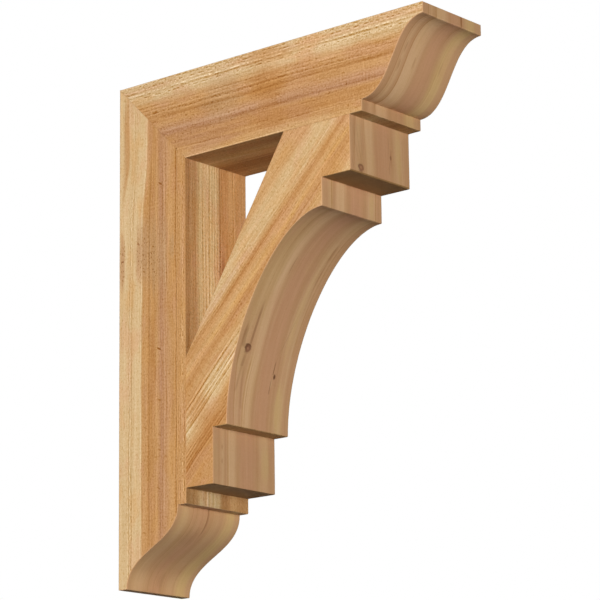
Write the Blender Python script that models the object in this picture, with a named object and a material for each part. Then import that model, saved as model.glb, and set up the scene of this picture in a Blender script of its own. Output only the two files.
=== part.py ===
# Wooden corbel bracket: a wall leg and a top arm mitred at their outer corner, and a coved brace between them.
# Run with: blender --background --python part.py
# Metres, +Z up. X runs out from the wall and Y across the width.
# The origin is the centre of the back face, which bears on the wall.

import math

import bpy

INCH = 0.0254

# The whole bracket, in full-sawn timber
WIDTH = 6.0 * INCH
HEIGHT = 34.0 * INCH
PROJECTION = 26.0 * INCH
LEG_DEPTH = 6.0 * INCH
ARM_DEPTH = 6.0 * INCH
JOINT_GAP = 0.0003

# The cyma cut on the end of the leg and of the arm
CYMA_LENGTH = 5.0 * INCH
CYMA_FULLNESS = 0.5
LEG_TOE = 0.75 * INCH
LEG_FILLET = 0.75 * INCH
ARM_NOSE = 0.75 * INCH
ARM_FILLET = 0.75 * INCH

# The brace: how far it stands back from each cyma, and how much of it bears on the leg and on the arm
LEG_MARGIN = 1.0 * INCH
ARM_MARGIN = 1.0 * INCH
LEG_SEAT = 8.6 * INCH
ARM_SEAT = 5.45 * INCH

# The square blocks at the brace's two ends, and the small steps where the cove dies into them
FOOT_BLOCK_DEPTH = 2.33 * INCH
FOOT_BLOCK_HEIGHT = 3.66 * INCH
HEAD_BLOCK_DEPTH = 2.33 * INCH
HEAD_BLOCK_HEIGHT = 3.67 * INCH
FOOT_STEP = 1.17 * INCH
HEAD_STEP = 1.84 * INCH
COVE_FULLNESS = 0.463

# Straight pieces between the points of a curved stretch
CURVE_STEPS = 28

# The colours and the gloss of rough-sawn cedar, a tone for each board
LEG_COLOUR = (0.62, 0.40, 0.22, 1.0)
ARM_COLOUR = (0.66, 0.44, 0.24, 1.0)
BRACE_COLOUR = (0.60, 0.37, 0.21, 1.0)
ROUGHNESS = 0.78

BOTTOM = -HEIGHT / 2
TOP = HEIGHT / 2
ARM_UNDERSIDE = TOP - ARM_DEPTH


def wood(name, colour):
    """A plain cedar material in one tone."""
    material = bpy.data.materials.new(name)
    material.use_nodes = True
    shader = material.node_tree.nodes["Principled BSDF"]
    shader.inputs["Base Color"].default_value = colour
    shader.inputs["Roughness"].default_value = ROUGHNESS
    shader.inputs["Metallic"].default_value = 0.0
    material.diffuse_color = colour
    return material


def corner(x, z):
    """A sharp corner of an outline."""
    return {"at": (x, z), "before": None, "after": None}


def curved(start, end, start_pull, end_pull):
    """The two ends of a curved stretch. Each pull is the offset of that end's handle, as (x, z)."""
    first = corner(*start)
    last = corner(*end)
    first["after"] = (start[0] + start_pull[0], start[1] + start_pull[1])
    last["before"] = (end[0] + end_pull[0], end[1] + end_pull[1])
    return [first, last]


def cyma(start, end, along_x):
    """An S-curve that leaves both of its ends along the board, along X or along Z."""
    run = (end[0] - start[0]) * CYMA_FULLNESS if along_x else 0.0
    rise = 0.0 if along_x else (end[1] - start[1]) * CYMA_FULLNESS
    return curved(start, end, (run, rise), (-run, -rise))


def board(name, outline, colour, collection):
    """A board as wide as the bracket, cut to an outline in the XZ plane."""
    curve = bpy.data.curves.new(name, "CURVE")
    curve.dimensions = "2D"
    curve.fill_mode = "BOTH"
    curve.extrude = WIDTH / 2
    curve.resolution_u = CURVE_STEPS
    spline = curve.splines.new("BEZIER")
    spline.bezier_points.add(len(outline) - 1)
    spline.use_cyclic_u = True
    for point, spec in zip(spline.bezier_points, outline):
        point.co = (*spec["at"], 0.0)
        point.handle_left_type = "FREE" if spec["before"] else "VECTOR"
        point.handle_right_type = "FREE" if spec["after"] else "VECTOR"
    for point, spec in zip(spline.bezier_points, outline):
        if spec["before"]:
            point.handle_left = (*spec["before"], 0.0)
        if spec["after"]:
            point.handle_right = (*spec["after"], 0.0)
    piece = bpy.data.objects.new(name, curve)
    piece.rotation_euler = (math.pi / 2, 0.0, 0.0)
    curve.materials.append(wood(name + "_cedar", colour))
    collection.objects.link(piece)
    return piece


def leg_outline():
    """The leg: mitred at the top, with a cyma foot that starts under a small fillet."""
    foot_top = BOTTOM + CYMA_LENGTH
    return [
        corner(0.0, BOTTOM),
        *cyma((LEG_TOE, BOTTOM), (LEG_DEPTH - LEG_FILLET, foot_top), along_x=False),
        corner(LEG_DEPTH, foot_top),
        corner(LEG_DEPTH, ARM_UNDERSIDE),
        corner(0.0, TOP),
    ]


def arm_outline():
    """The arm: mitred over the leg, with a cyma nose that ends in a small fillet."""
    nose_back = PROJECTION - CYMA_LENGTH
    mitre_shift = JOINT_GAP * math.hypot(LEG_DEPTH, ARM_DEPTH) / ARM_DEPTH
    return [
        corner(mitre_shift, TOP),
        corner(LEG_DEPTH + mitre_shift, ARM_UNDERSIDE),
        corner(nose_back, ARM_UNDERSIDE),
        *cyma((nose_back, ARM_UNDERSIDE + ARM_FILLET), (PROJECTION, TOP - ARM_NOSE), along_x=True),
        corner(PROJECTION, TOP),
    ]


def brace_outline():
    """The brace: a slanted back edge, a block at each end and a deep cove between the blocks."""
    back = LEG_DEPTH + JOINT_GAP
    foot = BOTTOM + CYMA_LENGTH + LEG_MARGIN
    head = ARM_UNDERSIDE - JOINT_GAP
    front = PROJECTION - CYMA_LENGTH - ARM_MARGIN
    foot_block_front = LEG_DEPTH + FOOT_BLOCK_DEPTH
    foot_block_top = foot + FOOT_BLOCK_HEIGHT
    head_block_foot = ARM_UNDERSIDE - HEAD_BLOCK_HEIGHT
    cove_foot = (foot_block_front + FOOT_STEP, foot_block_top)
    cove_head = (front - HEAD_BLOCK_DEPTH, head_block_foot - HEAD_STEP)
    cove_run = (cove_head[0] - cove_foot[0]) * COVE_FULLNESS
    cove_rise = (cove_head[1] - cove_foot[1]) * COVE_FULLNESS
    return [
        corner(back, foot),
        corner(foot_block_front, foot),
        corner(foot_block_front, foot_block_top),
        *curved(cove_foot, cove_head, (0.0, cove_rise), (-cove_run, 0.0)),
        corner(cove_head[0], head_block_foot),
        corner(front, head_block_foot),
        corner(front, head),
        corner(front - ARM_SEAT, head),
        corner(back, foot + LEG_SEAT),
    ]


def main():
    for old in list(bpy.data.objects):
        bpy.data.objects.remove(old)
    bracket = bpy.data.collections.new("corbel_bracket")
    bpy.context.scene.collection.children.link(bracket)
    board("leg", leg_outline(), LEG_COLOUR, bracket)
    board("arm", arm_outline(), ARM_COLOUR, bracket)
    board("brace", brace_outline(), BRACE_COLOUR, bracket)


main()
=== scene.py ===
# Looks of the wooden corbel bracket: three rough-sawn cedar boards with smooth band-sawn fronts.
# Each board is one closed surface worked out from its solid's outline, with eased arrises and raised grain.
import math

import bpy
import numpy as np
from mathutils import Matrix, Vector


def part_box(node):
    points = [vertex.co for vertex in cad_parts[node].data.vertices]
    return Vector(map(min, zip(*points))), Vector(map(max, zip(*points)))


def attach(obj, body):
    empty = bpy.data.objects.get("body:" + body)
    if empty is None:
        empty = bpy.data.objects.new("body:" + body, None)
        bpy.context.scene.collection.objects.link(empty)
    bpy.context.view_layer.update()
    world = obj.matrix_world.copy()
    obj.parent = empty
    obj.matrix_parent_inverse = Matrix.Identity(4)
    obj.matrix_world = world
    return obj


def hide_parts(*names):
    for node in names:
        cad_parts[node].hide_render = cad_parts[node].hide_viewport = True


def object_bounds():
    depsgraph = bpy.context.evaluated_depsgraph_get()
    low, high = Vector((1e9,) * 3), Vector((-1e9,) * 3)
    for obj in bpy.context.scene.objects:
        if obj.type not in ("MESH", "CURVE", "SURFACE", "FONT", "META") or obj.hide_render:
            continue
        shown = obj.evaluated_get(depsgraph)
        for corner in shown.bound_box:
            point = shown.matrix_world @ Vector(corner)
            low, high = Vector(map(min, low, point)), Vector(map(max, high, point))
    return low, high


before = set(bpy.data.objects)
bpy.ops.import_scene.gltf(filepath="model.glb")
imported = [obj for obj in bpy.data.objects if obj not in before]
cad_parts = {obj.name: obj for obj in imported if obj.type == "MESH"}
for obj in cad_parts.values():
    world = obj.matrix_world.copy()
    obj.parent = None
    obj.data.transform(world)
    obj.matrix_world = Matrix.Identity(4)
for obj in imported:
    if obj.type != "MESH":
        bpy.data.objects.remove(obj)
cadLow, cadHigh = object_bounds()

inch = 0.0254
hairline = 1e-5  # two places closer than this are one

# Cedar's tones, in everyday 0 to 255 red, green and blue
tones = {
    "cream": (232, 200, 152),
    "straw": (219, 186, 140),
    "oat": (213, 178, 131),
    "honey": (205, 160, 108),
    "amber": (200, 150, 97),
    "ginger": (193, 141, 87),
    "russet": (186, 129, 73),
    "rose": (196, 147, 105),
    "plum": (184, 134, 96),
    "bark": (134, 90, 52),
    "pitch": (92, 56, 32),
    "fawn": (205, 160, 116),
    "clay": (201, 154, 111),
    "dusk": (193, 147, 105),
    "dull": (186, 145, 102),
    "blush": (208, 166, 130),
    "umber": (150, 92, 50),
    "sand": (211, 169, 124),
    "bisque": (218, 176, 131),
    "brick": (204, 154, 114),
    "moss": (214, 176, 122),
    "barley": (207, 177, 126),
    "bronze": (192, 148, 98),
    "ochre": (173, 127, 77),
    "gold": (206, 148, 80),
    "hazel": (185, 142, 93),
    "oatmeal": (214, 181, 132),
    "tawny": (207, 159, 104),
    "coral": (206, 150, 114),
    "lichen": (202, 164, 108),
    "husk": (150, 107, 68),
    "heart": (152, 102, 74),
    "peach": (214, 167, 108),
    "brass": (186, 128, 66),
    "shadedBrown": (149, 111, 65),
    "shadedTan": (171, 134, 82),
}

# How the boards are meshed, in metres
mesher = {
    "along": 0.0036,  # from row to row along a board
    "across": 0.0016,  # from column to column over its sides
    "width": 0.0026,  # from row to row over its fronts
    "cornerTurn": 0.35,  # an outline that turns by more than this, in radians, has a corner
    "curveParts": 6,  # how many parts a step of a curved run is cut into
    "cornerPoints": 7,  # points on the curve over a free corner
    "cornerColumns": 5,  # columns on that curve
    "cornerSpread": 1.08,  # how far they reach, as a share of its half
    "openCut": 0.0019,  # how far a free corner is cut back
    "openArris": 0.0010,  # the easing of a free edge
    "arrisLeast": 0.72,  # the share of it that is left where it is least worn
    "arrisMore": 0.40,  # the share added where it is most worn
    "arrisPitch": 0.035,  # from one worn place to the next
    "jointArris": 0.00005,  # the easing of an edge along a joint
    "jointReach": 0.00014,  # how far each of two meeting faces comes out towards the other
    "touching": 0.0012,  # another board this close meets the edge
    "arcRows": 4,  # rows over an arris
    "bowFade": 24,  # the power by which a rounded end corner dies out along the side
    "sharpTurn": 38.0,  # faces that meet at more than this, in degrees, are shaded apart
}


# The tone as the linear colour that a shader takes, by the standard curve of a display
def linear(tone):
    share = np.array(tones[tone]) / 255.0
    return (*np.where(share > 0.04045, ((share + 0.055) / 1.055) ** 2.4, share / 12.92), 1.0)


hashSteps = {"x": 127.1, "y": 311.7, "seed": 74.7, "spread": 43758.5453}


# Smooth noise from 0 to 1: a hash of the four whole points round (x, y), eased between them by 3t^2 - 2t^3
def softNoise(x, y, seed):
    def hashed(i, j):
        raw = np.sin(i * hashSteps["x"] + j * hashSteps["y"] + seed * hashSteps["seed"]) * hashSteps["spread"]
        return raw - np.floor(raw)

    column, row = np.floor(x), np.floor(y)
    s, t = x - column, y - row
    s, t = s * s * (3 - 2 * s), t * t * (3 - 2 * t)
    low = hashed(column, row) * (1 - s) + hashed(column + 1, row) * s
    high = hashed(column, row + 1) * (1 - s) + hashed(column + 1, row + 1) * s
    return low * (1 - t) + high * t


# The CAD node's outline in the XZ plane, anticlockwise as the near side shows it. Each triangle of the node's
# rim with just two corners on the near side gives one step of the walk round it.
def solidOutline(node):
    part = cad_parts[node]
    mesh = part.data
    mesh.calc_loop_triangles()
    spots = np.empty(len(mesh.vertices) * 3)
    mesh.vertices.foreach_get("co", spots)
    place = np.array(part.matrix_world)
    spots = spots.reshape(-1, 3) @ place[:3, :3].T + place[:3, 3]
    triangles = np.empty(len(mesh.loop_triangles) * 3, dtype=np.int32)
    mesh.loop_triangles.foreach_get("vertices", triangles)
    triangles = triangles.reshape(-1, 3)
    near = spots[:, 1] < spots[:, 1].min() + hairline
    flat, index = np.unique(np.round(spots[:, [0, 2]] / hairline), axis=0, return_inverse=True)
    index = index.reshape(-1)
    after = np.full(len(flat), -1)
    for turn in range(3):
        a, b, c = (triangles[:, (turn + k) % 3] for k in range(3))
        steps = near[a] & near[b] & ~near[c]
        after[index[a[steps]]] = index[b[steps]]
    walk = [int(index[np.flatnonzero(near)[0]])]
    while after[walk[-1]] != walk[0]:
        walk.append(int(after[walk[-1]]))
    outline = flat[walk] * hairline
    x, z = outline.T
    swept = (x * np.roll(z, -1) - z * np.roll(x, -1)).sum()
    return outline if swept > 0 else outline[::-1]


# How far each point is from a closed outline: the least distance to its straight pieces
def distanceTo(points, outline):
    ends = np.roll(outline, -1, 0) - outline
    reach = points[:, None, :] - outline[None]
    share = (reach * ends).sum(2) / np.maximum((ends * ends).sum(1), hairline**2)
    return np.linalg.norm(reach - np.clip(share, 0, 1)[..., None] * ends, axis=2).min(1)


# Which of the points lie along another board
def meeting(points, others):
    return np.min([distanceTo(points, other) for other in others], axis=0) < mesher["touching"]


# A smooth curve through a run of points: between two of them it is the cubic whose slope at each end is half
# the step from the point before to the point after
def smoothRun(points):
    if len(points) == 2:
        return points
    padded = np.vstack([2 * points[:1] - points[1:2], points, 2 * points[-1:] - points[-2:-1]])
    before, start, end, after = (padded[k : len(padded) - 3 + k, None] for k in range(4))
    t = (np.arange(mesher["curveParts"]) / mesher["curveParts"])[None, :, None]
    startPull, endPull = (end - before) / 2, (after - start) / 2
    curve = (
        start * (1 + 2 * t) * (1 - t) ** 2
        + end * t * t * (3 - 2 * t)
        + startPull * t * (1 - t) ** 2
        - endPull * t * t * (1 - t)
    )
    return np.vstack([curve.reshape(-1, 2), points[-1:]])


# The length gone at each point of a line
def lengths(points):
    return np.concatenate([[0.0], np.cumsum(np.linalg.norm(np.diff(points, axis=0), axis=1))])


# The points of a line at the given lengths along it
def alongLine(points, places):
    gone = lengths(points)
    return np.stack([np.interp(places, gone, points[:, axis]) for axis in (0, 1)], axis=1)


# The outline with each outward corner eased by the curve (1-t)^2 E + 2t(1-t) C + t^2 S, from the end E of one
# run over the corner C to the start S of the next. Corners are numbered anticlockwise from the one furthest
# towards "first".
def easedOutline(node, first, others):
    loop = solidOutline(node)
    loop = np.roll(loop, -int(np.argmax(loop @ np.array(first))), axis=0)
    behind = loop - np.roll(loop, 1, 0)
    ahead = np.roll(loop, -1, 0) - loop
    turn = np.arctan2(behind[:, 0] * ahead[:, 1] - behind[:, 1] * ahead[:, 0], (behind * ahead).sum(1))
    at = np.flatnonzero(abs(turn) > mesher["cornerTurn"])
    corners = loop[at]
    cuts = np.where((turn[at] < 0) | meeting(corners, others), 0.0, mesher["openCut"])
    runs = []
    for k in range(len(at)):
        span = np.arange(at[k], at[k + 1] + 1 if k + 1 < len(at) else len(loop) + 1) % len(loop)
        run = smoothRun(loop[span])
        whole = lengths(run)
        begins, ends = cuts[k], whole[-1] - cuts[(k + 1) % len(at)]
        kept = whole[(whole > begins) & (whole < ends)]
        runs.append(alongLine(run, np.concatenate([[begins], kept, [ends]])))
    t = np.linspace(0, 1, mesher["cornerPoints"] + 2)[1:-1, None]
    line, middles, halves = [], [], []
    count = 0
    for k in range(len(at)):
        end, start, corner = runs[k - 1][-1:], runs[k][:1], corners[k : k + 1]
        bend = (1 - t) ** 2 * end + 2 * t * (1 - t) * corner + t * t * start if cuts[k] else corner
        middles.append(count + len(bend) // 2)
        line += [bend, runs[k] if cuts[k] else runs[k][1:]]
        if not cuts[(k + 1) % len(at)]:
            line[-1] = line[-1][:-1]
        halves.append(float(np.linalg.norm(start - end)) / 2 if cuts[k] else 0.0)
        count += len(bend) + len(line[-1])
    points = np.roll(np.vstack(line), -middles[0], axis=0)
    closed = np.vstack([points, points[:1]])
    gone = lengths(closed)
    return {
        "points": closed,
        "total": gone[-1],
        "corners": gone[np.array(middles) - middles[0]],
        "halves": np.array(halves) * mesher["cornerSpread"],
    }


# Places along the outline from one corner to another: three or five on each corner's easing, the rest shared
# out evenly over the stretches between them
def chain(outline, start, end, count):
    begins = outline["corners"][start]
    ends = outline["corners"][end] if end > start else outline["total"]
    spread = np.linspace(-1, 1, mesher["cornerColumns"])
    clusters = []
    corners = [*outline["corners"], outline["total"]]
    halves = [*outline["halves"], outline["halves"][0]]
    for corner, half in zip(corners, halves):
        if begins - hairline < corner < ends + hairline:
            cluster = corner + half * spread if half else np.array([corner])
            clusters.append(cluster[(cluster > begins - hairline) & (cluster < ends + hairline)])
    spare = count - sum(len(cluster) for cluster in clusters)
    gaps = np.array([after[0] - before[-1] for before, after in zip(clusters, clusters[1:])])
    shares = np.round(np.concatenate([[0.0], np.cumsum(gaps)]) / gaps.sum() * spare).astype(int)
    places = [clusters[0]]
    for k, gap in enumerate(gaps):
        few = shares[k + 1] - shares[k]
        places += [clusters[k][-1] + gap * np.arange(1, few + 1) / (few + 1), clusters[k + 1]]
    return np.concatenate(places)


# The relief cut into a board, in metres. Each pitch is a noise's, along the grain and across it.
reliefPlan = {
    "seed": 1.0,
    "ridge": 0.00035,
    "ridgePitch": (0.11, 0.0034),
    "ridgeStart": 3.1,
    "ridgeShare": 0.6,  # the rest is the slower swelling's
    "swellPitch": (0.3, 0.009),
    "saw": 0.00010,
    "sawPitch": 0.017,
    "sawSway": 1.6,  # in waves
    "swayPitch": (0.07, 0.05),
    "grooves": [],  # across the grain and half width in inches, depth in metres
    "dashPitch": (0.012, 0.004),
    "dashLeast": 0.35,
    "chatter": 0.00008,
    "chatterPitch": (0.018, 0.16),
    "frontGrain": 0.00010,
    "frontGrainPitch": (0.2, 0.006),
}


# One of the relief's noises, each with its own shift of the seed
def pitched(u, v, relief, kind, shift, start=0.0):
    long, wide = relief[kind + "Pitch"]
    return softNoise(u / long + start, v / wide, relief["seed"] + shift)


# Raised grain and saw marks on a board's side, as a depth below its face: ridges drawn out along the grain,
# shallow sine waves from the saw across it, and a bell-shaped groove along each listed line
def sideRelief(u, v, relief):
    share = relief["ridgeShare"]
    ridge = pitched(u, v, relief, "ridge", 0, relief["ridgeStart"]) * share
    ridge = ridge + pitched(u, v, relief, "swell", 1) * (1 - share)
    sway = relief["sawSway"] * pitched(u, v, relief, "sway", 2)
    wave = 0.5 + 0.5 * np.sin(2 * np.pi * (u / relief["sawPitch"] + sway))
    depth = relief["ridge"] * ridge + relief["saw"] * wave
    least = relief["dashLeast"]
    dashed = least + (1 - least) * pitched(u, v, relief, "dash", 5)
    for place, width, deep in relief["grooves"]:
        depth = depth + deep * dashed * np.exp(-(((v - place * inch) / (width * inch)) ** 2))
    return depth


# Shallow waves on a smooth front: the blade's chatter along the cut and a slow swell of the grain across it
def frontRelief(s, y, relief):
    chatter = pitched(s, y, relief, "chatter", 7)
    grain = pitched(s, y, relief, "frontGrain", 8)
    return relief["chatter"] * chatter + relief["frontGrain"] * grain


# The way in at each point of a closed line: the mitre of the two steps that meet there
def wayIn(line):
    step = np.roll(line, -1, 0) - line
    step /= np.linalg.norm(step, axis=1)[:, None]
    inward = np.stack([-step[:, 1], step[:, 0]], axis=1)
    before = np.roll(inward, 1, 0)
    return (inward + before) / (1 + (inward * before).sum(1))[:, None]


# The radius of the arris at each place on the rim: worn a little unevenly where free, nearly sharp along a
# joint, and then the mean of each place and its two neighbours
def arrisRadius(places, meets, seed):
    worn = softNoise(places / mesher["arrisPitch"], places * 0, seed + 11)
    worn = mesher["openArris"] * (mesher["arrisLeast"] + mesher["arrisMore"] * worn)
    arris = np.where(meets, mesher["jointArris"], worn)
    arris = (np.roll(arris, 1) + arris + np.roll(arris, -1)) / 3
    return np.minimum(arris, worn)


# A side as a grid ruled from the back edge B to the front edge F: (1 - j) B + j F. The foot and the head bow
# away from a straight line, which is added by (1 - i)^n and i^n, so that each bow stays at its own end.
def ruledSide(edge, rows, columns):
    footLast, frontLast, headLast = columns - 1, columns + rows - 2, 2 * columns + rows - 3
    foot, front = edge[: footLast + 1], edge[footLast : frontLast + 1]
    head, back = edge[frontLast : headLast + 1][::-1], np.vstack([edge[headLast:], edge[:1]])[::-1]
    i = np.linspace(0, 1, rows)[:, None, None]
    footShare = (lengths(foot) / lengths(foot)[-1])[None, :, None]
    headShare = (lengths(head) / lengths(head)[-1])[None, :, None]
    j = footShare * (1 - i) + headShare * i
    footBow = foot - foot[0] * (1 - footShare) - foot[-1] * footShare
    headBow = head - head[0] * (1 - headShare) - head[-1] * headShare
    fade = mesher["bowFade"]
    return back[:, None] * (1 - j) + front[:, None] * j + footBow * (1 - i) ** fade + headBow * i**fade


# How far along the grain and across it the points of the XZ plane lie
def grainPlace(points, board):
    grainX, grainZ = math.cos(board["grainTurn"]), math.sin(board["grainTurn"])
    reach = points - np.array(board["grainStart"])
    u = reach[..., 0] * grainX + reach[..., 1] * grainZ
    v = reach[..., 0] * grainZ - reach[..., 1] * grainX
    return u, v


# The four corners of each cell of a table, of vertex numbers or of places on the map
def cells(table):
    corners = [table[:-1, :-1], table[:-1, 1:], table[1:, 1:], table[1:, :-1]]
    return np.stack(corners, axis=2).reshape(-1, 4, *table.shape[2:])


# A board: its outline carried across the width. The near and far sides are ruled grids, and the rim joins
# them, its first and last rows easing the arrises by y = r(1 - cos a), inset = r(1 - sin a).
def makeBoard(board, others):
    outline = easedOutline(board["node"], board["first"], others)
    low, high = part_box(board["node"])
    relief, farShift = board["relief"], board["farShift"]
    frontStart, frontEnd, backEnd = board["frontStart"], board["frontEnd"], board["backEnd"]
    frontRun = outline["corners"][frontEnd] - outline["corners"][frontStart]
    rows = int(round(frontRun / mesher["along"])) + 1
    columns = int(round(board["depth"] / mesher["across"])) + 1
    foot, front = (0, frontStart, columns), (frontStart, frontEnd, rows)
    head, back = (frontEnd, backEnd, columns), (backEnd, 0, rows)
    places = np.concatenate([chain(outline, *run)[:-1] for run in (foot, front, head, back)])
    rim = alongLine(outline["points"], places)
    inward = wayIn(rim)

    # Along a joint the rim comes out a little, inside the solids' box
    meets = meeting(rim, others)
    rim = rim - inward * (meets * mesher["jointReach"])[:, None]
    rim = np.clip(rim, (cadLow[0], cadLow[2]), (cadHigh[0], cadHigh[2]))
    arris = arrisRadius(places, meets, relief["seed"])
    plate = ruledSide(rim + inward * arris[:, None], rows, columns)
    grid = np.arange(rows * columns).reshape(rows, columns)
    around = np.concatenate([grid[0, :-1], grid[:-1, -1], grid[-1, :0:-1], grid[:0:-1, 0]])

    # The rim's rows across the width
    turn = np.linspace(0, np.pi / 2, mesher["arcRows"] + 1)
    flat = int(round((high[1] - low[1]) / mesher["width"]))
    share = np.concatenate([np.ones(len(turn)), np.linspace(1, 0, flat + 1)[1:-1], np.zeros(len(turn))])
    bend = np.concatenate([turn, np.full(flat - 1, np.pi / 2), turn[::-1]])
    side = np.concatenate([-np.ones(len(turn)), np.zeros(flat - 1), np.ones(len(turn))])[:, None]
    inset = arris[None] * (1 - np.sin(bend))[:, None]
    nearArc = low[1] + arris[None] * (1 - np.cos(bend))[:, None]
    farArc = high[1] - arris[None] * (1 - np.cos(bend))[:, None]
    level = (low[1] + arris[None]) * share[:, None] + (high[1] - arris[None]) * (1 - share[:, None])
    y = np.where(side < 0, nearArc, np.where(side > 0, farArc, level))
    rimPlace = rim[None] + inward[None] * inset[..., None]

    # The relief, always inwards
    u, v = grainPlace(plate, board)
    nearDip = sideRelief(u, v, relief)
    farDip = sideRelief(u + farShift, v, relief)
    rimU, rimV = grainPlace(rimPlace, board)
    nearRim = sideRelief(rimU, rimV, relief)
    farRim = sideRelief(rimU + farShift, rimV, relief)
    frontDip = frontRelief(np.tile(places, (len(bend), 1)), y, relief)
    lean = np.cos(bend)[:, None]
    y = y + np.where(side < 0, nearRim, -farRim) * lean * (side != 0)
    rimPlace = rimPlace + inward[None] * (frontDip * (1 - lean))[..., None]

    nearSpots = np.stack([plate[..., 0], low[1] + nearDip, plate[..., 1]], axis=-1).reshape(-1, 3)
    farSpots = np.stack([plate[..., 0], high[1] - farDip, plate[..., 1]], axis=-1).reshape(-1, 3)
    between = np.stack([rimPlace[..., 0], y, rimPlace[..., 1]], axis=-1)[1:-1]
    spots = np.vstack([nearSpots, farSpots, between.reshape(-1, 3)])
    total = rows * columns
    middle = np.arange(between.shape[0] * len(rim)).reshape(-1, len(rim)) + 2 * total
    band = np.vstack([around, middle, around + total])
    band = np.hstack([band, band[:, :1]])
    faces = np.vstack([cells(grid), cells(grid + total)[:, ::-1], cells(band)[:, ::-1]])

    # The grain map, in metres along and across the grain: the sides' own, and the length gone round the rim
    closedPlaces = np.append(places, outline["total"])
    gone = np.tile(closedPlaces - outline["corners"][frontStart], (len(bend), 1))
    bandMap = np.stack([gone, np.hstack([y, y[:, :1]]) - low[1]], axis=-1)
    nearMap = np.stack([u, v], axis=-1)
    farMap = np.stack([u + farShift, v], axis=-1)
    grainMap = np.vstack([cells(nearMap), cells(farMap)[:, ::-1], cells(bandMap)[:, ::-1]])

    # Which finish each face takes: 0 the sawn sides, 1 the smooth fronts, 2 the sawn edges
    frontFrom, frontTo = (outline["corners"][k] for k in board["smooth"])
    centre = (closedPlaces[:-1] + closedPlaces[1:]) / 2
    finish = np.where((centre > frontFrom) & (centre < frontTo), 1, 2)
    finishes = np.concatenate([np.zeros(2 * (rows - 1) * (columns - 1)), np.tile(finish, len(bend) - 1)])

    mesh = bpy.data.meshes.new(board["name"])
    mesh.from_pydata(spots, [], faces)
    mesh.polygons.foreach_set("material_index", finishes.astype(np.int32))
    layer = mesh.uv_layers.new(name="grain")
    layer.data.foreach_set("uv", grainMap.astype(np.float32).ravel())
    mesh.shade_smooth()
    mesh.set_sharp_from_angle(angle=math.radians(mesher["sharpTurn"]))
    mesh.update()
    piece = bpy.data.objects.new(board["name"], mesh)
    bpy.context.scene.collection.objects.link(piece)
    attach(piece, "root")
    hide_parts(board["node"])
    print(board["name"], "made:", len(faces) * 2, "triangles")
    return piece


# One value in a material. Python's operators on it add the Math nodes; node() adds any other kind.
class Wire:
    def __init__(self, tree, socket=None):
        self.tree = tree
        self.socket = socket

    # A node of this kind, with its settings made first, then its sockets given values or wires
    def node(self, kind, settings, sockets, output=0):
        made = self.tree.nodes.new(kind)
        for name, value in settings.items():
            if name == "stops":
                ramp = made.color_ramp
                while len(ramp.elements) < len(value):
                    ramp.elements.new(1.0)
                for element, (place, colour) in zip(ramp.elements, value):
                    element.position = place
                    element.color = colour
            else:
                setattr(made, name, value)
        for name, value in sockets.items():
            if isinstance(value, Wire):
                self.tree.links.new(value.socket, made.inputs[name])
            else:
                made.inputs[name].default_value = value
        return Wire(self.tree, made.outputs[output])

    def maths(self, operation, first, second=0.0):
        return self.node("ShaderNodeMath", {"operation": operation}, {0: first, 1: second})

    def __add__(self, other):
        return self.maths("ADD", self, other)

    def __sub__(self, other):
        return self.maths("SUBTRACT", self, other)

    def __mul__(self, other):
        return self.maths("MULTIPLY", self, other)

    def __truediv__(self, other):
        return self.maths("DIVIDE", self, other)

    def __rsub__(self, other):
        return self.maths("SUBTRACT", other, self)

    def __pow__(self, other):
        return self.maths("POWER", self, other)

    __radd__ = __add__
    __rmul__ = __mul__

    # 0 below one value and 1 above the other, eased between; the two may come in either order
    def rise(self, start, end):
        settings = {"interpolation_type": "SMOOTHSTEP"}
        if start < end:
            return self.node("ShaderNodeMapRange", settings, {0: self, 1: start, 2: end, 3: 0.0, 4: 1.0})
        return self.node("ShaderNodeMapRange", settings, {0: self, 1: end, 2: start, 3: 1.0, 4: 0.0})

    # This colour with another laid over it as far as the mask says
    def over(self, colour, mask, blend="MIX"):
        settings = {"data_type": "RGBA", "blend_type": blend}
        return self.node("ShaderNodeMix", settings, {0: mask, 6: self, 7: colour}, 2)


# The noises of the wood. Each has its swings to the inch along the grain and across it, a place of its own in
# the noise, and its detail.
noises = {
    "wander": (0.16, 0.35, 1.0, 1.0),
    "waver": (0.9, 2.2, 2.0, 2.0),
    "broad": (0.10, 3.0, 3.0, 2.0),
    "fine": (0.30, 9.0, 4.0, 2.0),
    "fuzz": (7.0, 9.0, 5.0, 3.0),
    "bars": (7.0, 0.9, 6.0, 1.0),
    "torn": (3.4, 0.9, 7.0, 1.0),
    "patchy": (0.35, 1.3, 8.0, 1.0),
    "gaps": (3.6, 1.7, 9.0, 1.0),
    "specks": (5.0, 8.0, 11.0, 1.0),
    "knot": (3.0, 3.0, 12.0, 3.0),
    "flush": (0.28, 0.75, 21.0, 2.0),
    "cloud": (0.45, 0.8, 31.0, 3.0),
}

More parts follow.
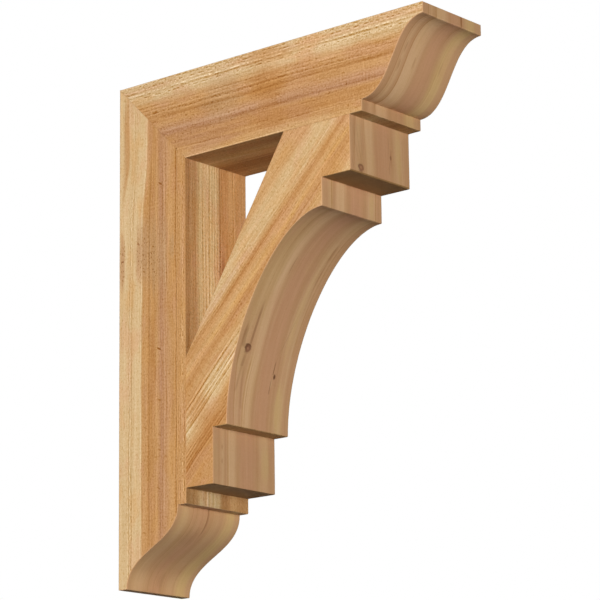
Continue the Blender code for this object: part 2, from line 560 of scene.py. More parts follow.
# What all the finishes share. An edge is the two values between which a mask turns from 0 to 1, a fade is how
# far it reaches outside and inside a run's ends, in inches, and soft is how gently a line's side falls.
recipe = {
    "noiseRoughness": 0.6,
    "flushEdge": (0.48, 0.66),
    "flushStep": 4.0,  # how far the patches of the next tone lie in the noise
    "tornEdge": (0.62, 0.42),
    "patchyEdge": (0.25, 0.60),
    "gapsEdge": (0.60, 0.42),
    "specksEdge": (0.58, 0.70),
    "driftEdge": (3.6, 2.3),  # inches across the grain, past which it doesn't drift
    "ovalRagged": 1.8,
    "paintedShadeFade": (0.02, 0.02),
    "combedFade": (0.5, 0.5),
    "combedSoft": 0.5,
    "lineFade": (0.8, 0.4),
    "lineSoft": 0.8,
    # how far the painted highlight or shadow lies from a line's middle
    "highlightAside": 1.6,  # in half widths of the line
    "strokeHead": (0.0, 0.12),
    "strokeTail": (1.0, 0.6),
    "strokeSoft": 0.9,
    "strokeInk": 0.55,
    "strokeFuzz": 0.9,
    "tickLean": 0.5,
    "tickEdge": (1.0, 0.3),
    "knotPress": 0.8,
    "knotRagged": 1.5,
    "heartEdge": (1.15, 0.75),
    "ringOutside": (1.30, 1.02),
    "ringInside": (0.30, 0.85),
    "ringLean": (0.8, 0.5),  # along the grain and across it
    "ringSide": (-0.9, 0.7),
    "ringLeast": 0.25,
    "fleckEdge": (0.42, 0.20),
    "fleckStrength": 0.35,
    "polish": 0.12,  # how much smoother the pale wood is
}


# Cedar on the grain map. Its tone is a ramp over the distance across the grain, with listed patches laid on
# it.
# One shade value gathers streaks, nap, combed lines, single lines with their painted highlights, ticks and
# specks:
# it darkens or lightens the tone, blue most and red least as in real wood, and it is also the height of the
# raised grain. Places are in inches.
def cedar(name, look):
    material = bpy.data.materials.new(name)
    material.use_nodes = True
    shader = material.node_tree.nodes["Principled BSDF"]
    start = Wire(material.node_tree)
    place = start.node("ShaderNodeUVMap", {"uv_map": "grain"}, {}, "UV")
    along = start.node("ShaderNodeSeparateXYZ", {}, {0: place}, "X") / inch
    across = start.node("ShaderNodeSeparateXYZ", {}, {0: place}, "Y") / inch

    # One of the noises on the grain as it lies so far, in another part of the noise by the shift
    def drawn(kind, shift=0.0, pitch=1.0):
        perAlong, perAcross, own, detail = noises[kind]
        where, scale = (0.0, 0.0, look["seed"] + (own + shift)), (perAlong, perAcross / pitch, 1.0)
        spot = start.node("ShaderNodeMapping", {}, {"Vector": grain, "Location": where, "Scale": scale})
        sockets = {"Vector": spot, "Scale": 1.0, "Detail": detail, "Roughness": recipe["noiseRoughness"]}
        return start.node("ShaderNodeTexNoise", {}, sockets, "Fac")

    # A soft oval, 1 in its middle and 0 at its rim, made ragged by the broad streaks
    def oval(atAlong, atAcross, long, wide):
        spread = ((along - atAlong) / long) ** 2.0 + ((across - atAcross) / wide) ** 2.0
        return (spread + (broad - 0.5) * recipe["ovalRagged"]).rise(1.0, 0.0)

    # 1 from one place along the grain to another, fading outside and inside the two
    def between(begins, ends, fade):
        outside, inside = recipe[fade]
        return along.rise(begins - outside, begins + inside) * along.rise(ends + outside, ends - inside)

    # 1 where a distance is nought and 0 from the half width on
    def stripe(distance, halfWidth, soft):
        return (1.0 - (distance / halfWidth) ** 2.0).rise(0.0, recipe[soft])

    def vector(operation, *values):
        return start.node("ShaderNodeVectorMath", {"operation": operation}, dict(enumerate(values)), "Vector")

    # Grain parts round a knot: it is pressed aside, most at the knot's rim and less further off
    unpressed = across
    for knotAlong, knotAcross, size, *_ in look["knots"]:
        aside = across - knotAcross
        spread = ((along - knotAlong) / look["knotStretch"]) ** 2.0 + aside ** 2.0
        reach = (size * look["knotReach"]) ** 2
        across = across - aside * (reach * recipe["knotPress"]) / (spread + reach)
    for begins, ends, shift in look["drift"]:
        across = across - along.rise(begins, ends) * across.rise(*recipe["driftEdge"]) * shift
    grain = start.node("ShaderNodeCombineXYZ", {}, {0: along, 1: across})
    across = across + ((drawn("wander") - 0.5) * look["wander"] + (drawn("waver") - 0.5) * look["waver"])
    grain = start.node("ShaderNodeCombineXYZ", {}, {0: along, 1: across})
    low, high = look["bands"][0][0], look["bands"][-1][0]
    stops = [((at - low) / (high - low), linear(tone)) for at, tone in look["bands"]]
    colour = start.node("ShaderNodeValToRGB", {"stops": stops}, {0: (across - low) / (high - low)}, "Color")

    # Streaks of late and early wood, broad then fine, the nap that the saw leaves, as fuzz and as bars across
    # the grain, and slow clouds
    broad, fuzz = drawn("broad"), drawn("fuzz")
    shade = (broad - 0.5) * look["broad"] + (drawn("fine") - 0.5) * look["fine"]
    shade = shade + (fuzz - 0.5) * look["fuzz"] + (drawn("bars") - 0.5) * look["bars"]
    shade = shade + (drawn("cloud") - 0.5) * look["cloud"]

    # Some boards have a band where all of this lies shallower
    for begins, ends, kept in look["calm"]:
        shade = shade * (across.rise(begins, ends) * (1.0 - kept) + kept)

    # Places where the wood turns one way or the other: they change its hue and leave its depth
    for turn, tone in enumerate(look["flushTones"]):
        patches = drawn("flush", recipe["flushStep"] * turn).rise(*recipe["flushEdge"])
        colour = colour.over(linear(tone), patches * look["flush"], "COLOR")

    # Patches of another tone, a few of them painted shade, and runs of painted shade from corner to corner: a
    # darker tone laid over undersides and the faces that lie in their shade
    for atAlong, atAcross, long, wide, tone, strength in look["marks"]:
        colour = colour.over(linear(tone), oval(atAlong, atAcross, long, wide) * strength)
    for begins, ends, tone, strength in look["paintedShadeRuns"]:
        colour = colour.over(linear(tone), between(begins, ends, "paintedShadeFade") * strength)

    # Combed grain: dark and pale lines side by side, torn into dashes, within a band of the board
    for begins, ends, middle, reach, pitch, strength, dashes in look["combed"]:
        wave = start.maths("SINE", (across - middle) * (2 * math.pi / pitch))
        inside = stripe(across - middle, reach, "combedSoft")
        torn = 1.0 - drawn("torn", middle, pitch).rise(*recipe["tornEdge"]) * dashes
        patchy = drawn("patchy", middle).rise(*recipe["patchyEdge"])
        shade = shade + wave * inside * torn * patchy * between(begins, ends, "combedFade") * strength

    # Single lines along the grain, dark where their strength is above nought and pale below it. Along each
    # one's far
    # edge lies a stripe of the other kind: a painted highlight beside a dark line and a painted shadow beside
    # a pale one, as a torn ridge of grain would catch the light. One noise tears them all into dashes.
    gaps = drawn("gaps").rise(*recipe["gapsEdge"])
    for begins, ends, at, width, strength, dashes in look["lines"]:
        paintedHighlight = stripe(across - at - width * recipe["highlightAside"], width, "lineSoft")
        line = stripe(across - at, width, "lineSoft") - paintedHighlight * look["paintedHighlight"]
        shade = shade - line * (between(begins, ends, "lineFade") * strength) * (1.0 - gaps * dashes)

    # Dark strokes that lean or bow: each runs from one place across the grain to another by a straight line
    # and a parabola, which swings aside by the bow at its middle
    for begins, ends, fromAcross, toAcross, bow, width, strength in look["strokes"]:
        gone = (along - begins) / (ends - begins)
        aside = unpressed - fromAcross - gone * (toAcross - fromAcross) - gone * (1.0 - gone) * (4.0 * bow)
        line = stripe(aside, width, "strokeSoft")
        line = line * gone.rise(*recipe["strokeHead"]) * gone.rise(*recipe["strokeTail"])
        inked = line * (recipe["strokeInk"] + fuzz * recipe["strokeFuzz"]) * strength
        colour = colour.over(linear("bark"), inked)

    # Short slanted strokes where a tooth of the saw caught
    for atAlong, atAcross, long, wide, strength in look["ticks"]:
        leant = along - atAlong + (across - atAcross) * recipe["tickLean"]
        spread = (leant / wide) ** 2.0 + ((across - atAcross) / long) ** 2.0
        shade = shade - spread.rise(*recipe["tickEdge"]) * strength

    # Dark specks, thinly all over and thick in a few places
    thick = look["specks"]
    for atAlong, atAcross, long, wide, strength in look["speckled"]:
        thick = oval(atAlong, atAcross, long, wide) * strength + thick
    shade = shade - drawn("specks").rise(*recipe["specksEdge"]) * thick

    # A knot: a reddish heart with a pale fleck, in a ragged dark ring that is strongest towards one side
    toEnd, toEdge = recipe["ringLean"]
    for knotAlong, knotAcross, size, strength, dark in look["knots"]:
        ahead = (along - knotAlong) / size
        aside = (unpressed - knotAcross) / size
        distance = (ahead ** 2.0 + aside ** 2.0) ** 0.5 + (drawn("knot") - 0.5) * recipe["knotRagged"]
        colour = colour.over(linear("heart"), distance.rise(*recipe["heartEdge"]) * strength)
        sided = (ahead * toEnd - aside * toEdge).rise(*recipe["ringSide"])
        sided = sided * (1.0 - recipe["ringLeast"]) + recipe["ringLeast"]
        ring = distance.rise(*recipe["ringOutside"]) * distance.rise(*recipe["ringInside"]) * sided
        colour = colour.over(linear("pitch"), ring * dark)
        fleck = distance.rise(*recipe["fleckEdge"]) * strength * recipe["fleckStrength"]
        colour = colour.over(linear("fawn"), fleck)

    factor = vector("MULTIPLY_ADD", shade, look["shadeDepth"], look["tint"])
    colour = vector("MULTIPLY", colour, vector("MAXIMUM", factor, look["darkest"]))
    raised = {"Strength": look["bump"], "Distance": look["bumpDepth"], "Height": shade}
    bump = start.node("ShaderNodeBump", {}, raised, "Normal")
    rough = look["roughness"] - shade * recipe["polish"]
    for value, socket in ((colour, "Base Color"), (rough, "Roughness"), (bump, "Normal")):
        material.node_tree.links.new(value.socket, shader.inputs[socket])
    shader.inputs["Specular IOR Level"].default_value = look["shine"]
    return material


# The finish of a sawn side: coarse streaks, fuzz and torn lines. Each list's note says what its entries hold.
sawnLook = {
    "seed": 1.0,
    "bands": [],  # across, tone
    "drift": [],  # begins, ends, inches that the grain moves aside by
    "wander": 0.22,
    "waver": 0.12,
    "knots": [],  # along, across, radius, strength, strength of the ring
    "knotStretch": 4.0,
    "knotReach": 1.2,
    "broad": 0.45,
    "fine": 0.58,
    "fuzz": 0.95,
    "bars": 0.25,
    "cloud": 0.14,
    "calm": [],  # begins and ends across, share of the texture kept
    "marks": [],  # along, across, half length, half width, tone, strength
    # Runs of painted shade: a darker tone laid from one place along the grain to another, over faces that lie
    # in shade
    "paintedShadeRuns": [],  # begins, ends, tone, strength
    "combed": [],  # begins, ends, middle across, half width, pitch, strength, dashes
    "lines": [],  # begins, ends, across, half width, strength, dashes
    # how strong the painted highlight beside a dark line, or the painted shadow beside a pale one, is
    "paintedHighlight": 0.6,
    "strokes": [],  # begins, ends, across at each end, bow, half width, strength
    "ticks": [],  # along, across, half length, half width, strength
    "flushTones": ("gold", "coral"),
    "flush": 0.30,
    "specks": 0.20,
    "speckled": [],  # along, across, half length, half width, strength
    "shadeDepth": (0.68, 1.0, 1.60),  # how strongly the shade acts on red, green and blue
    "darkest": (0.30, 0.22, 0.14),
    "tint": (1.0, 1.0, 1.0),
    "roughness": 0.8,
    "shine": 0.25,
    "bump": 0.8,
    "bumpDepth": 0.0008,
}

# The finish of a smooth front: soft bands that run with the cut, and hardly any fuzz
smoothLook = {
    **sawnLook,
    "waver": 0.05,
    "broad": 0.24,
    "fine": 0.22,
    "cloud": 0.11,
    "fuzz": 0.16,
    "paintedHighlight": 0.25,
    "flushTones": ("lichen", "coral"),
    "flush": 0.20,
    "bars": 0.05,
    "specks": 0.03,
    "roughness": 0.62,
    "shine": 0.3,
    "bump": 0.25,
    "bumpDepth": 0.0005,
}

outlines = {node: solidOutline(node) for node in ("leg", "arm", "brace")}
legFront = float(outlines["leg"][:, 0].max())
bracketFoot, bracketTop = cadLow[2], cadHigh[2]

# Below, places along and across the grain are in inches. A side is measured from the leg's foot and back, the
# arm's back and top, and the brace's back edge, and a front along the outline from the foot of the front and
# from the near side.
leg = {
    "name": "leg_board",
    "node": "leg",
    "slot": "leg_cedar",
    "first": (-1.0, -1.0),  # the corner that the outline starts from lies furthest this way
    "frontStart": 1,  # corners of the outline, numbered from that one
    "frontEnd": 4,
    "backEnd": 5,
    "smooth": (0, 3),
    "depth": 6.0 * inch,
    "grainTurn": math.pi / 2,
    "grainStart": (0.0, bracketFoot),
    "farShift": 1.1,
    "relief": {
        **reliefPlan,
        "seed": 2.0,
        "grooves": [(0.85, 0.03, 0.0003), (2.66, 0.05, 0.0004), (5.14, 0.04, 0.0004)],
    },
    "side": {
        **sawnLook,
        "seed": 3.0,
        "tint": (1.014, 1.018, 0.992),
        "calm": [(1.95, 2.25, 0.6)],
        "bands": [
            (-0.2, "straw"), (0.45, "straw"), (0.95, "oat"), (1.4, "straw"), (1.99, "straw"),
            (2.09, "amber"), (2.4, "amber"), (2.66, "ginger"), (3, "ginger"), (3.4, "amber"), (3.8, "plum"),
            (4.15, "rose"), (4.6, "amber"), (4.95, "amber"), (5.2, "ginger"), (5.5, "amber"),
            (5.85, "amber"), (6.2, "amber"),
        ],
        "drift": [(17, 21, 0.12), (24.8, 29, 0.45)],
        "combed": [(-1, 35, 0.95, 0.3, 0.22, 0.22, 1), (-1, 35, 5.55, 0.34, 0.22, 0.26, 0.8)],
        "lines": [
            (0, 28, 0.86, 0.05, 0.16, 0.9), (0, 32, 1.1, 0.05, 0.14, 0.9), (3, 28, 2.66, 0.1, 0.14, 0.3),
            (4, 29, 3.95, 0.07, 0.14, 0.4), (4, 29, 5.12, 0.06, 0.36, 0.3), (5, 7, 4.15, 0.05, -0.22, 0.2),
            (11, 14, 4.15, 0.05, -0.24, 0.2), (20, 23.3, 4.2, 0.06, -0.34, 0.1),
            (25, 28, 4.15, 0.05, -0.22, 0.2), (5.5, 17, 5.72, 0.06, -0.5, 1),
            (18, 28, 5.75, 0.05, -0.45, 1), (6, 28, 5.4, 0.04, 0.2, 0.6), (0, 27, 0.97, 0.04, -0.22, 1),
            (0, 30, 1.92, 0.05, -0.2, 0.4),
        ],
        "ticks": [
            (6.3, 3.55, 0.2, 0.07, 0.3), (8.8, 3.6, 0.16, 0.06, 0.25), (9.8, 3.6, 0.18, 0.06, 0.25),
            (12.1, 3.6, 0.2, 0.07, 0.35), (15.5, 3.6, 0.22, 0.08, 0.6), (26.7, 3.75, 0.2, 0.08, 0.6),
            (3.5, 2.35, 0.2, 0.06, 0.3), (10.4, 2.4, 0.2, 0.06, 0.3),
        ],
        "marks": [
            (22.3, 1.9, 2.8, 0.75, "dusk", 0.75), (22, 0.15, 2.4, 0.35, "dusk", 0.8),
            (22, 3.2, 3.2, 1.9, "dull", 0.6), (5.5, 4.2, 2, 0.8, "rose", 0.4),
            (13.5, 4.3, 4, 0.6, "rose", 0.45), (28.5, 4.3, 1.4, 0.7, "rose", 0.5),
            (14, 2.9, 4, 0.5, "russet", 0.35), (29.8, 0.12, 4.2, 0.36, "ginger", 0.8),
            (22.2, 4.8, 1, 0.35, "dull", 0.5),
        ],
        "speckled": [(21.7, 0.15, 1.6, 0.35, 0.6), (22.3, 1.85, 2.4, 0.5, 0.6), (21.9, 3, 2.4, 0.9, 0.4)],
    },
    "front": {
        **smoothLook,
        "seed": 4.0,
        "tint": (1.025, 1.025, 0.985),
        "bands": [
            (0, "clay"), (0.35, "fawn"), (0.7, "sand"), (1.1, "fawn"), (1.5, "clay"), (2, "clay"),
            (2.5, "brick"), (2.9, "brick"), (3.3, "clay"), (3.7, "fawn"), (4.3, "clay"), (4.8, "moss"),
            (5.3, "moss"), (5.6, "fawn"), (6, "fawn"),
        ],
        "marks": [
            (0.8, 2.95, 0.9, 0.35, "plum", 0.5), (6.3, 2.95, 1.3, 0.13, "heart", 0.45),
            (4.9, 2.3, 1.1, 1.1, "husk", 0.22), (3.8, 3, 2.2, 0.7, "brick", 0.5),
            (1, 4.9, 2, 0.5, "moss", 0.5), (6, 0.8, 1.6, 0.5, "moss", 0.3),
            (0.6, 1.1, 1.2, 0.8, "bisque", 0.55), (0.6, 4.2, 1.2, 0.7, "bisque", 0.5),
        ],
        "lines": [
            (5.4, 7.5, 2.92, 0.05, 0.2, 0.1), (-1, 8, 1.5, 0.05, 0.1, 0.3), (-1, 8, 1.92, 0.04, 0.12, 0.3),
            (-1, 8, 4.35, 0.05, 0.12, 0.5), (-1, 8, 2.45, 0.04, 0.12, 0.5), (-1, 8, 3.42, 0.05, 0.08, 0.3),
        ],
    },
    "edge": {
        **sawnLook,
        "seed": 5.0,
        "bands": [
            (0, "ochre"), (0.3, "ochre"), (0.6, "hazel"), (1, "hazel"), (1.4, "barley"), (1.8, "oatmeal"),
            (2.2, "oatmeal"), (2.6, "barley"), (3.1, "oatmeal"), (3.35, "hazel"), (3.6, "ginger"),
            (4.1, "ginger"), (4.4, "tawny"), (4.8, "tawny"), (5.2, "amber"), (6, "amber"),
        ],
        "combed": [
            (16, 35, 2.1, 0.55, 0.31, 0.34, 0.5), (16, 35, 2.95, 0.35, 0.24, 0.3, 0.5),
            (16, 35, 0.8, 0.5, 0.26, 0.16, 0.4), (7, 9, 2.3, 0.7, 0.36, 0.18, 0),
        ],
        "lines": [
            (16, 34, 3.42, 0.06, 0.34, 0.2), (16, 34, 4.72, 0.05, 0.3, 0.3),
            (16, 34, 0.36, 0.05, 0.22, 0.4), (16, 34, 1.32, 0.05, 0.2, 0.5),
        ],
        # Painted shade just below the brace's foot block: this run and the two husk marks at 8.4 along darken
        # the leg's inner front where the block shades it
        "paintedShadeRuns": [(7.83, 9.2, "shadedBrown", 0.08)],
        "marks": [
            (23.6, 3.75, 1.6, 0.3, "umber", 0.6), (8.4, 0.2, 1, 0.9, "husk", 0.22),
            (8.4, 3.75, 1, 0.45, "husk", 0.36),
        ],
        "speckled": [(23.6, 3.6, 2.2, 0.5, 0.5)],
    },
}

arm = {
    "name": "arm_board",
    "node": "arm",
    "slot": "arm_cedar",
    "first": (-1.0, 1.0),
    "frontStart": 1,
    "frontEnd": 4,
    "backEnd": 5,
    "smooth": (2, 5),
    "depth": 6.0 * inch,
    "grainTurn": 0.0,
    "grainStart": (0.0, bracketTop),
    "farShift": 0.9,
    "relief": {
        **reliefPlan,
        "seed": 4.0,
        "grooves": [(0.42, 0.04, 0.0003), (1.02, 0.04, 0.0004), (2.75, 0.05, 0.0004)],
    },
    "side": {
        **sawnLook,
        "seed": 7.0,
        "bands": [
            (-0.2, "straw"), (0.2, "straw"), (0.45, "sand"), (0.75, "oat"), (1.05, "straw"), (1.35, "oat"),
            (1.65, "honey"), (1.95, "amber"), (2.25, "amber"), (2.55, "ginger"), (2.85, "ginger"),
            (3.15, "amber"), (3.6, "rose"), (4, "plum"), (4.4, "ginger"), (4.95, "ginger"), (5.4, "amber"),
            (5.8, "honey"), (6.2, "honey"),
        ],
        "fine": 0.75,
        "fuzz": 1.20,
        "combed": [(-1, 27, 0.62, 0.62, 0.31, 0.34, 0.8), (-1, 27, 2.1, 0.45, 0.24, 0.34, 0.7)],
        "lines": [
            (4, 24, 2.72, 0.09, 0.22, 0.2), (10, 24, 4.02, 0.09, 0.16, 0.3), (5, 21, 5.2, 0.05, 0.16, 0.3),
            (4, 12, 3.75, 0.1, -0.1, 0.2), (17.5, 24, 2, 0.07, -0.3, 0.9), (2, 24.5, 1.03, 0.06, 0.5, 0.9),
            (2, 24.5, 0.38, 0.06, 0.52, 0.9), (1.5, 24.5, 0.72, 0.06, -0.42, 1),
            (1, 26, 0.12, 0.06, 0.4, 1), (2, 22, 2.36, 0.06, 0.4, 0.8), (5, 14, 2.05, 0.05, -0.3, 0.9),
            (6.3, 14.4, 5.93, 0.06, -0.4, 0.4),
        ],
        "ticks": [
            (17.5, 4.2, 0.12, 0.05, 0.35), (18.4, 4.3, 0.12, 0.05, 0.35), (19.8, 4, 0.12, 0.05, 0.35),
            (3.3, 2.3, 0.1, 0.25, 0.4),
        ],
        "marks": [
            (9.2, 2.5, 2.1, 2.2, "dull", 0.5), (13.2, 2.6, 2, 1.6, "russet", 0.7),
            (13.4, 0.8, 2.5, 1.2, "amber", 0.72), (13.4, 4.8, 1.8, 1.2, "russet", 0.45),
            (6.3, 4.7, 2, 0.7, "plum", 0.5), (8, 3.75, 4.5, 0.2, "blush", 0.25),
            (7.2, 0.45, 3.4, 0.55, "straw", 0.75), (8.6, 4.7, 2.4, 0.8, "plum", 0.45),
            (17.5, 3.7, 6, 0.3, "rose", 0.4), (8.5, 5.4, 3.2, 0.4, "plum", 0.6),
            (13.3, 2.65, 2.4, 0.5, "brass", 0.7), (16, 4.8, 5.5, 0.5, "russet", 0.35),
        ],
        "speckled": [(8, 3.6, 9, 1.6, 0.2), (9, 0.5, 3, 0.7, 0.35)],
    },
    "front": {
        **smoothLook,
        "seed": 8.0,
        "tint": (1.022, 1.022, 1.02),
        "bands": [
            (0, "clay"), (0.5, "clay"), (0.95, "sand"), (1.25, "clay"), (1.6, "bisque"), (2.3, "bisque"),
            (2.65, "clay"), (3.05, "brick"), (3.5, "brick"), (4.1, "clay"), (4.6, "moss"), (5.1, "moss"),
            (5.4, "fawn"), (6, "fawn"),
        ],
        "lines": [
            (15.5, 23.5, 0.6, 0.05, 0.22, 0.1), (15.5, 23.5, 1.38, 0.06, 0.3, 0.1),
            (15.5, 23.5, 2.32, 0.05, 0.1, 0.4), (21.5, 24, 3.95, 0.04, 0.22, 0.1),
            (17, 22, 4.52, 0.04, 0.1, 0.3), (16, 23, 0.8, 0.04, 0.1, 0.4),
        ],
        "marks": [
            (18.9, 0.9, 0.55, 0.1, "umber", 0.35), (20.1, 0.92, 0.5, 0.09, "umber", 0.35),
            (19.3, 2.2, 0.5, 0.09, "umber", 0.25), (23.2, 3.9, 0.5, 0.1, "umber", 0.7),
            (19.5, 4.72, 0.6, 0.12, "umber", 0.18), (19, 3.3, 4, 0.7, "brick", 0.4),
            (23.4, 3, 0.5, 0.8, "brick", 0.4),
        ],
        # Painted shade: two short runs of the arm's front profile are darkened as faces in shade
        "paintedShadeRuns": [(15, 15.75, "shadedBrown", 0.22), (22.85, 23.7, "shadedBrown", 0.16)],
    },
    "edge": {
        **sawnLook,
        "seed": 9.0,
        "tint": (1.0, 1.06, 1.09),
        "bands": [
            (0, "bronze"), (1, "bronze"), (2, "barley"), (3, "bronze"), (4, "ochre"), (5, "bronze"),
            (6, "bronze"),
        ],
        # Painted shade: these bark marks darken the arm's underside, which lies in shade
        "marks": [
            (3, 4, 9, 1.2, "bark", 0.35), (3, 1.5, 9, 2.2, "bark", 0.25), (14.5, 3, 0.9, 3.4, "bark", 0.3),
        ],
    },
}

brace = {
    "name": "brace_board",
    "node": "brace",
    "slot": "brace_cedar",
    "first": (-1.0, -1.0),
    "frontStart": 1,
    "frontEnd": 6,
    "backEnd": 7,
    "smooth": (0, 7),
    "depth": 6.0 * inch,
    "grainTurn": math.pi / 4,
    "grainStart": (legFront, bracketFoot + 14.6 * inch),
    "farShift": 0.7,
    "relief": {
        **reliefPlan,
        "seed": 6.0,
        "grooves": [(2.5, 0.04, 0.0005), (2.95, 0.04, 0.0005), (3.3, 0.04, 0.0005)],
    },
    "side": {
        **sawnLook,
        "seed": 11.0,
        "tint": (1.015, 1.0, 0.965),
        "bands": [
            (-2.9, "honey"), (-2.4, "honey"), (-1.9, "honey"), (-1.5, "oat"), (-1, "oat"), (-0.6, "oat"),
            (-0.4, "oat"), (-0.15, "honey"), (0.15, "ginger"), (0.42, "amber"), (0.7, "honey"),
            (1, "peach"), (1.2, "amber"), (1.45, "ginger"), (1.7, "amber"), (2, "honey"), (2.3, "honey"),
            (2.7, "oat"), (3.3, "oat"), (3.6, "straw"), (3.9, "oat"), (4.2, "honey"), (4.6, "ginger"),
            (5, "ginger"), (5.3, "russet"), (5.7, "ginger"), (6.2, "amber"),
        ],
        "combed": [
            (-8, 4, 2.95, 0.8, 0.33, 0.42, 0.4), (-8, 2, 5, 0.6, 0.22, 0.3, 0.4),
            (-8, 16, 0, 0.45, 0.2, 0.2, 0.9),
        ],
        "lines": [
            (-5, 3, 2.52, 0.05, 0.22, 0.3), (-5, 2.5, 3.02, 0.05, 0.35, 0.2),
            (-5, 1.5, 3.55, 0.05, 0.25, 0.3), (-5, 2.5, 3.3, 0.06, -0.4, 0.5),
            (-5, -0.5, 5.3, 0.1, 0.25, 0.2), (4, 15, 1.5, 0.08, 0.2, 0.3), (1, 11, 0.12, 0.14, 0.11, 0.4),
        ],
        "marks": [
            (5, -0.45, 5, 0.32, "blush", 0.45), (7, 0.2, 5, 0.25, "russet", 0.4),
            (12.5, 1.5, 3, 0.35, "rose", 0.6), (12, -1, 3.5, 0.6, "straw", 0.3),
            (-3, 5.2, 2, 0.4, "russet", 0.5), (-1.9, 3, 1.5, 1.7, "amber", 0.9),
            (-1.9, 4.9, 1.3, 0.9, "russet", 0.75),
        ],
    },
    "front": {
        **smoothLook,
        "seed": 12.0,
        "knotReach": 2.6,
        "knotStretch": 3.2,
        "bands": [
            (0, "clay"), (0.3, "fawn"), (0.6, "clay"), (0.95, "sand"), (1.18, "clay"), (1.45, "bisque"),
            (1.92, "bisque"), (2.27, "clay"), (2.8, "brick"), (3.5, "brick"), (4.1, "clay"), (4.6, "sand"),
            (5.1, "sand"), (5.4, "clay"), (6, "fawn"),
        ],
        "knots": [(9.85, 1.1, 0.29, 0.85, 0.7), (25.62, 1.08, 0.27, 0.75, 0.42)],
        # Painted shade: the undersides of the foot block, the step and the head block take dark tones, and
        # the fronts of the foot and the head block are a little darker
        "paintedShadeRuns": [
            (-2.33, 0, "shadedBrown", 0.85), (3.66, 4.83, "shadedTan", 0.8), (23.01, 25.34, "shadedBrown", 0.9),
            (25.34, 29, "shadedBrown", 0.12), (0, 3.66, "shadedBrown", 0.07),
        ],
        "strokes": [
            (9.95, 13.4, 1.22, 1.26, 0.06, 0.13, 0.48), (9.8, 11.6, 0.66, 0.66, -0.12, 0.22, 0.34),
            (8.6, 9.7, 0.86, 1.04, 0, 0.17, 0.3), (6.9, 9.4, 0.62, 0.94, 0.03, 0.12, 0.22),
            (5.8, 9.2, 1.34, 1.14, -0.1, 0.12, 0.16), (8.5, 9.6, 3.95, 4, 0, 0.05, 0.75),
            (7.2, 8.5, 3.8, 3.92, 0, 0.05, 0.5), (26, 28.6, 0.9, 0.42, -0.14, 0.04, 0.2),
            (26.1, 28.8, 1.1, 0.66, -0.06, 0.04, 0.2), (26.3, 28.6, 1.24, 1, 0.02, 0.04, 0.18),
            (25.4, 26.3, 0.4, 0.14, 0, 0.05, 0.18), (26.7, 28.4, 3.92, 3.9, 0, 0.03, 0.3),
            (25.7, 26.9, 3.96, 3.93, 0, 0.035, 0.36), (9.9, 13.2, 4.12, 4.86, 0.1, 0.04, 0.2),
        ],
        "lines": [
            (-1, 9, 1.4, 0.06, 0.24, 0.2), (5, 9, 1.58, 0.04, 0.16, 0.3), (14, 24, 1.1, 0.05, 0.12, 0.4),
            (5, 9.4, 0.74, 0.05, 0.2, 0.2), (-1, 4, 0.62, 0.04, 0.12, 0.4), (10, 24, 5.25, 0.05, 0.16, 0.4),
            (13, 18, 5, 0.05, 0.14, 0.3), (10, 24, 5.55, 0.04, 0.12, 0.4), (26, 30, 0.7, 0.05, 0.2, 0.3),
            (26, 30, 1.3, 0.05, 0.14, 0.3), (8, 24, 4.15, 0.04, 0.08, 0.3), (21, 23.2, 1, 0.05, 0.26, 0.1),
            (21, 23.2, 5.2, 0.04, 0.2, 0.1), (26, 30, 5.2, 0.04, 0.16, 0.3),
        ],
        "marks": [
            (12.5, 3, 7.5, 0.9, "brick", 0.55), (1.6, 3.2, 2.2, 0.9, "brick", 0.6),
            (27, 3.1, 2, 0.9, "brick", 0.5), (1.8, 4.85, 1.7, 0.42, "moss", 0.8),
            (6.3, 4.75, 2.2, 0.5, "moss", 0.9), (13, 4.6, 4, 0.3, "moss", 0.5),
            (27.2, 4.7, 2, 0.4, "moss", 0.7), (22, 4.8, 1.1, 0.4, "moss", 0.6),
            (10, 1.75, 8, 0.3, "bisque", 0.6), (14.6, 1.05, 2.6, 0.35, "bisque", 0.7),
            (16, 5.3, 4.2, 0.6, "fawn", 0.6), (15.5, 0.9, 5.5, 1.25, "lichen", 0.45),
            (1.55, 0.88, 0.28, 0.1, "umber", 0.4), (2.45, 0.88, 0.28, 0.1, "umber", 0.4),
            (15.8, 2.15, 1, 0.06, "bark", 0.35), (8.45, 3.92, 0.24, 0.14, "pitch", 0.9),
            (8, 3.7, 0.35, 0.09, "cream", 0.4), (17.3, 4.9, 0.8, 0.1, "umber", 0.35),
            (26.9, 3.9, 0.2, 0.1, "pitch", 0.6), (26.9, 3.92, 0.7, 0.05, "umber", 0.6),
            (15.5, 4.95, 1.4, 0.06, "umber", 0.3), (10.2, 0.75, 1.6, 0.1, "umber", 0.25),
        ],
    },
    "edge": {
        **sawnLook,
        "seed": 13.0,
        "bands": [(0, "amber"), (1.5, "honey"), (3, "amber"), (4.5, "ginger"), (6, "amber")],
    },
}

for board in (leg, arm, brace):
    piece = makeBoard(board, [outlines[node] for node in outlines if node != board["node"]])
    for part in ("side", "front", "edge"):
        piece.data.materials.append(cedar(board["name"] + "_" + part, board[part]))
print("boards finished")

# The studio: a pale floor far below, one big soft lamp beside the camera, and dim ones for the hidden sides
studio = {
    "floorDrop": 2.6,
    "floorSize": 9.0,
    "floorColour": (0.86, 0.85, 0.83, 1.0),
    "floorRoughness": 0.9,
    "ambient": 0.012,  # how bright the white background is to all but the camera
    "lamps": {  # azimuth, elevation, distance, size, power
        "key": (35.0, -4.4, 9.0, 3.2, 990.0),
        "fill_back": (215.0, 25.0, 5.0, 2.5, 260.0),
        "top": (0.0, 88.0, 4.0, 3.0, 60.0),
    },
}
bracketMiddle = (np.array(cadLow) + np.array(cadHigh)) / 2


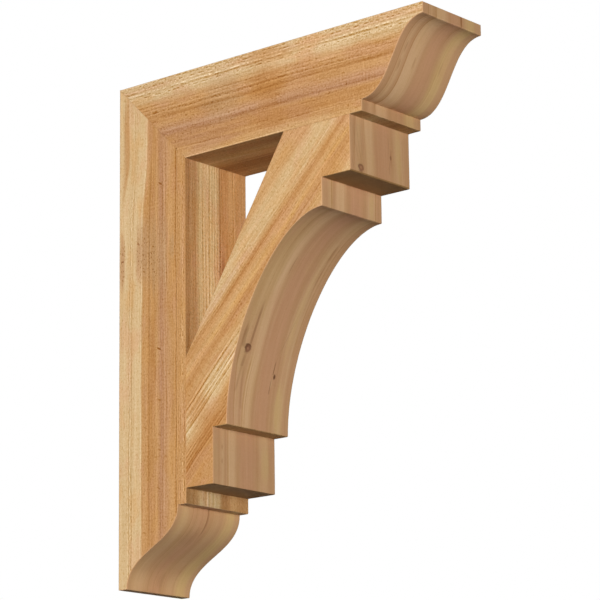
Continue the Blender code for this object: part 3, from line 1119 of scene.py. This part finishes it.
# An area lamp at an azimuth and elevation round the bracket, facing its middle
def lamp(name, azimuth, elevation, distance, size, power):
    data = bpy.data.lights.new(name, "AREA")
    data.shape = "DISK"
    data.size = size
    data.energy = power
    made = bpy.data.objects.new(name, data)
    turned, raised = math.radians(azimuth), math.radians(elevation)
    away = (math.sin(turned) * math.cos(raised), -math.cos(turned) * math.cos(raised), math.sin(raised))
    made.location = bracketMiddle + np.array(away) * distance
    made.rotation_euler = (math.pi / 2 - raised, 0.0, turned)
    made.visible_camera = False
    bpy.context.scene.collection.objects.link(made)


for name, plan in studio["lamps"].items():
    lamp(name, *plan)

floorMesh = bpy.data.meshes.new("floor")
half = studio["floorSize"] / 2
floorHeight = bracketFoot - studio["floorDrop"]
floorCorners = [(x, y, floorHeight) for x, y in ((-half, -half), (half, -half), (half, half), (-half, half))]
floorMesh.from_pydata(floorCorners, [], [(0, 1, 2, 3)])
floor = bpy.data.objects.new("floor", floorMesh)
bpy.context.scene.collection.objects.link(floor)
floorPaint = bpy.data.materials.new("floor_paint")
floorPaint.use_nodes = True
floorShader = floorPaint.node_tree.nodes["Principled BSDF"]
floorShader.inputs["Base Color"].default_value = studio["floorColour"]
floorShader.inputs["Roughness"].default_value = studio["floorRoughness"]
floorMesh.materials.append(floorPaint)
floor.visible_diffuse = False  # it throws no light up at the bracket
floor.visible_shadow = False  # and lets the low lamp through

world = bpy.data.worlds.new("studio")
bpy.context.scene.world = world
world.use_nodes = True
sky = Wire(world.node_tree)
seen = sky.node("ShaderNodeLightPath", {}, {}, "Is Camera Ray")
strength = seen * (1.0 - studio["ambient"]) + studio["ambient"]
background = world.node_tree.nodes["Background"]
background.inputs["Color"].default_value = (1.0, 1.0, 1.0, 1.0)
world.node_tree.links.new(strength.socket, background.inputs["Strength"])
bpy.context.scene.view_settings.view_transform = "Standard"

# The camera, looking up at the bracket from its open side, in metres, degrees and millimetres
cameraPlan = {
    "place": (3.12985, -3.29043, -1.04484),
    "pitch": 13.821,
    "yaw": 40.340,
    "roll": -0.769,
    "lens": 163.95,
    "sensor": 36.0,
    "sight": 60.0,
}
cameraData = bpy.data.cameras.new("camera")
cameraData.lens = cameraPlan["lens"]
cameraData.sensor_width = cameraPlan["sensor"]
cameraData.clip_end = cameraPlan["sight"]
camera = bpy.data.objects.new("camera", cameraData)
turned = Matrix.Rotation(math.radians(cameraPlan["yaw"]), 4, "Z")
raised = Matrix.Rotation(math.pi / 2 + math.radians(cameraPlan["pitch"]), 4, "X")
rolled = Matrix.Rotation(math.radians(cameraPlan["roll"]), 4, "Z")
camera.matrix_world = Matrix.Translation(cameraPlan["place"]) @ turned @ raised @ rolled
bpy.context.scene.collection.objects.link(camera)
bpy.context.scene.camera = camera
print("studio set")
